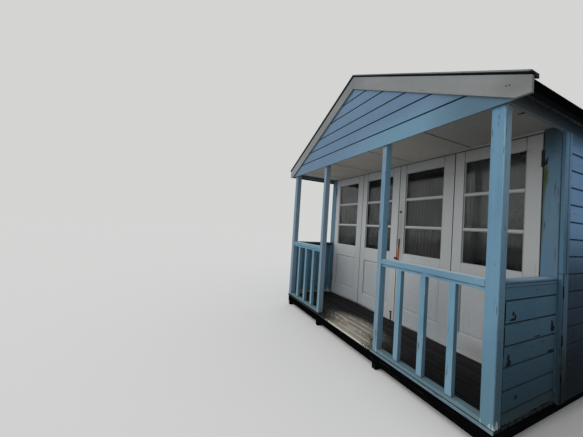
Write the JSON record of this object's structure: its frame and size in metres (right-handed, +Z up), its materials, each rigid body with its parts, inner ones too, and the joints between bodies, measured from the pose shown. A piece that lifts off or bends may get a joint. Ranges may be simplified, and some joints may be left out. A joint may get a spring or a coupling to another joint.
{
  "type": "beach hut",
  "caption": "Painted timber beach hut with a felted gable roof, railed veranda, half-height side panels and a row of glazed folding doors across the front",
  "frame": {"origin": "centre of the hut's footprint on the ground", "axes": "X to the hut's right as seen from in front, -Y out of the veranda's front, Z up"},
  "size_m": [3.244, 3.712, 3.1209],
  "materials": {
    "blue_paint": "chalky pale blue exterior paint on boards, worn at the edges",
    "white_paint": "dulled white exterior paint",
    "weathered_timber": "grey weathered boards with flecks of pale paint",
    "tarred_timber": "dark tarred timber",
    "bare_timber": "plain dry softwood",
    "window_glass": "clear flat glass, slightly dirty",
    "curtain_cloth": "thin plain net",
    "rusted_iron": "rough rust over black iron",
    "roof_felt": "mineral roofing felt, sandy grey"
  },
  "bodies": {
    "root": {"foot_blocks": "tarred_timber", "floor_bearers": "tarred_timber", "rim_boards": "tarred_timber", "veranda_deck": "weathered_timber", "room_floor": "bare_timber", "post_right_corner": "blue_paint", "post_right_inner": "blue_paint", "post_left_inner": "blue_paint", "post_left_corner": "blue_paint", "handrails": "blue_paint", "bottom_rails": "blue_paint", "balusters": "blue_paint", "side_panel_right": "blue_paint", "side_panel_left": "blue_paint", "side_cappings": "blue_paint", "wall_right": "blue_paint", "wall_left": "blue_paint", "back_wall": "blue_paint", "corner_boards": "blue_paint", "front_wall_boards": "blue_paint", "door_jambs": "white_paint", "door_head": "white_paint", "door_sill": "weathered_timber", "door_leaf_1": "white_paint", "door_leaf_2": "white_paint", "door_leaf_3": "white_paint", "door_leaf_4": "white_paint", "door_glass": "window_glass", "door_curtains": "curtain_cloth", "door_hinges": "rusted_iron", "door_lock": "rusted_iron", "veranda_ceiling": "white_paint", "room_gable": "bare_timber", "front_gable": "blue_paint", "eave_beams": "blue_paint", "frieze_boards": "blue_paint", "ridge_board": "bare_timber", "rafters": "bare_timber", "barge_boards_front": "white_paint", "barge_boards_back": "white_paint", "eave_fascias": "tarred_timber", "roof_boards_right": "bare_timber", "roof_boards_left": "bare_timber", "roof_felt_right": "roof_felt", "roof_felt_left": "roof_felt"}
  },
  "joints": []
}
